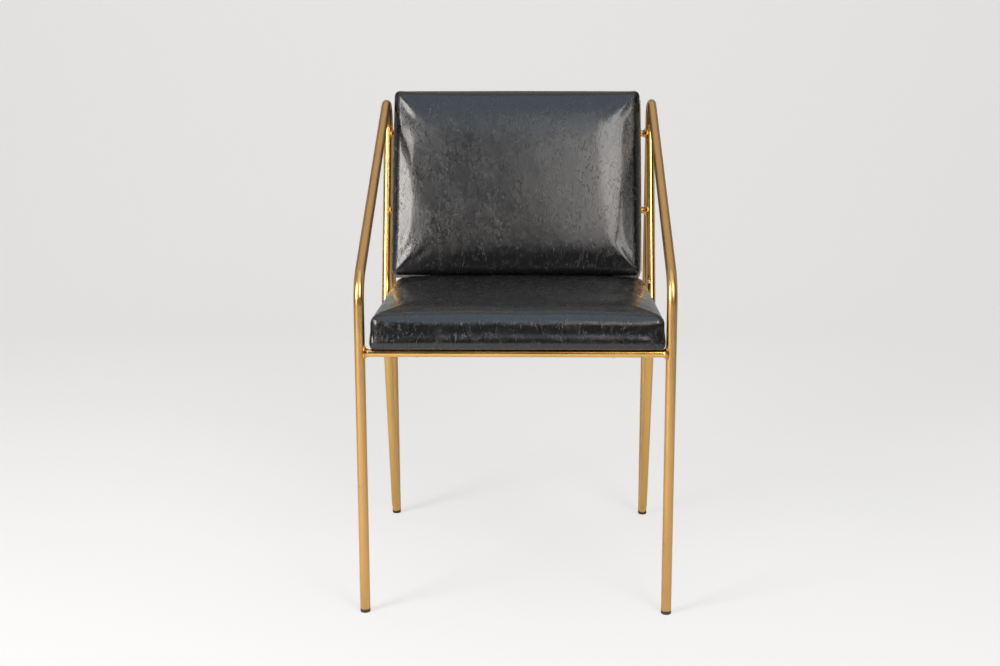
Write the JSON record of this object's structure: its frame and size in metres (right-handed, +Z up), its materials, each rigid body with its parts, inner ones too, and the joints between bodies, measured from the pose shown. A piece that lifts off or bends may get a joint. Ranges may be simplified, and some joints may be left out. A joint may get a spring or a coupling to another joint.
{
  "type": "armchair",
  "caption": "Open-sided armchair: bent tube side loops with sloping arms, kinked back uprights, thin cross rails, and upholstered seat and back pads screwed on.",
  "frame": {"origin": "on the floor, under the middle of the chair's bounding box", "axes": "+X to the chair's right as the picture shows it, +Y towards the back, +Z up"},
  "size_m": [0.49, 0.5229, 0.8028],
  "materials": {
    "gold_lacquer": "glossy metallic gold lacquer",
    "black_leather": "glossy oil-waxed black leather with fine creases",
    "foot_plastic": "matt black-brown",
    "plywood": "raw birch plywood",
    "foam": "open-cell foam",
    "dust_cloth": "matt non-woven cloth",
    "zinc_steel": "bright zinc"
  },
  "bodies": {
    "root": {"left_side_loop": "gold_lacquer", "right_side_loop": "gold_lacquer", "left_back_upright": "gold_lacquer", "right_back_upright": "gold_lacquer", "front_seat_rail": "gold_lacquer", "rear_seat_rail": "gold_lacquer", "left_seat_bearer": "gold_lacquer", "right_seat_bearer": "gold_lacquer", "lower_back_rail": "gold_lacquer", "upper_back_rail": "gold_lacquer", "front_rail_welds": "gold_lacquer", "rear_rail_welds": "gold_lacquer", "bearer_welds": "gold_lacquer", "back_rail_welds": "gold_lacquer", "upright_top_welds": "gold_lacquer", "upright_foot_welds": "gold_lacquer", "front_left_foot_cap": "foot_plastic", "front_right_foot_cap": "foot_plastic", "rear_left_foot_cap": "foot_plastic", "rear_right_foot_cap": "foot_plastic", "seat_board": "plywood", "seat_foam": "foam", "seat_cover": "black_leather", "seat_dust_cover": "dust_cloth", "seat_screws": "zinc_steel", "seat_tee_nuts": "zinc_steel", "back_board": "plywood", "back_foam": "foam", "back_cover": "black_leather", "back_rear_panel": "black_leather", "back_screws": "zinc_steel", "back_tee_nuts": "zinc_steel"}
  },
  "joints": []
}
